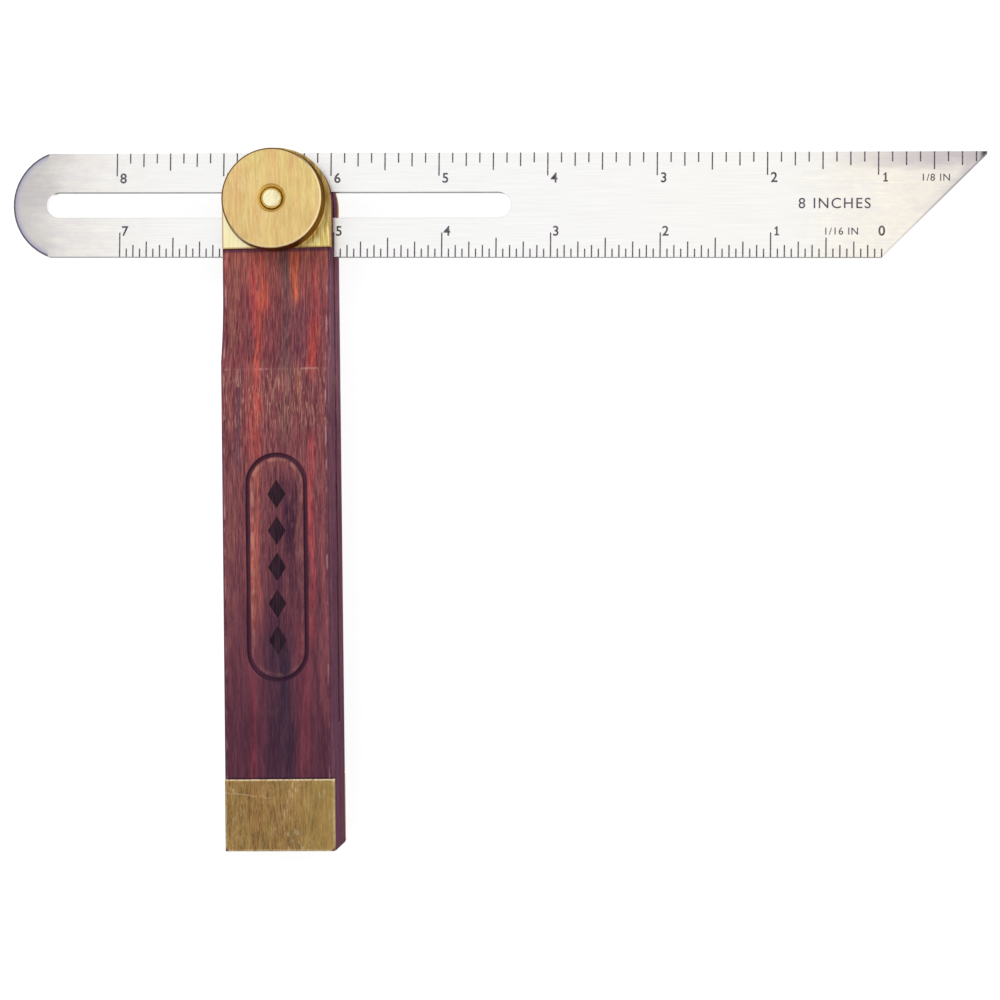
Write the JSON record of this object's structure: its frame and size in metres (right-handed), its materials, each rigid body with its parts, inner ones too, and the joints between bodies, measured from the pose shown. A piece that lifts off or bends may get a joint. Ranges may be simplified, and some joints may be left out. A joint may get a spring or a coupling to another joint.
{
  "type": "sliding t-bevel",
  "caption": "Sliding T-bevel: a slotted rule blade with a slanted end pivots and slides in a kerfed hardwood stock with brass plates, clamped by a brass knob.",
  "frame": {"origin": "on the pivot axis, at the rear face of the stock", "axes": "+X towards the blade's pointed end, +Y from the stock towards the head, +Z out of the front face along the pivot axis towards the knob"},
  "size_m": [0.2275, 0.1634, 0.021],
  "materials": {
    "rosewood": "oiled rosewood, reddish brown with dark purple and orange-red streaks",
    "blade_steel": "brushed stainless steel",
    "bolster_brass": "pale brass, brushed along the stock",
    "butt_brass": "darker aged brass, scratched, with worn bright edges",
    "bolt_brass": "bright pale brass",
    "knob_brass": "warm brass with a brushed face and a bright edge",
    "scale_ink": "dark etched rule graduations and numerals"
  },
  "bodies": {
    "stock_body": {"stock": "rosewood", "front_bolster": "bolster_brass", "rear_bolster": "bolster_brass", "front_butt_plate": "butt_brass", "rear_butt_plate": "butt_brass", "clamp_bolt": "bolt_brass"},
    "bush_body": {"slot_bush": "bolt_brass"},
    "blade_body": {"blade": "blade_steel"},
    "washer_body": {"knob_washer": "knob_brass"},
    "knob_body": {"clamp_knob": "knob_brass"}
  },
  "joints": [
    {"name": "blade_pivot", "type": "hinge", "parent": "stock_body", "child": "bush_body", "pos_m": [0, 0, 0.009], "axis": [0, 0, 1], "range_deg": [-74, 254]},
    {"name": "blade_slide", "type": "slide", "parent": "bush_body", "child": "blade_body", "axis": [0.9997, -0.0227, 0], "range_m": [-0.0512, 0.0521]},
    {"name": "knob_travel", "type": "slide", "parent": "stock_body", "child": "washer_body", "axis": [0, 0, 1], "range_m": [0, 0.0021]},
    {"name": "knob_turn", "type": "hinge", "parent": "washer_body", "child": "knob_body", "pos_m": [0, 0, 0.018], "axis": [0, 0, 1], "range_deg": [0, 720]}
  ],
  "couplings": [
    {"joint": "knob_turn", "follows": "knob_travel", "rad_per_m": 5936.9}
  ]
}
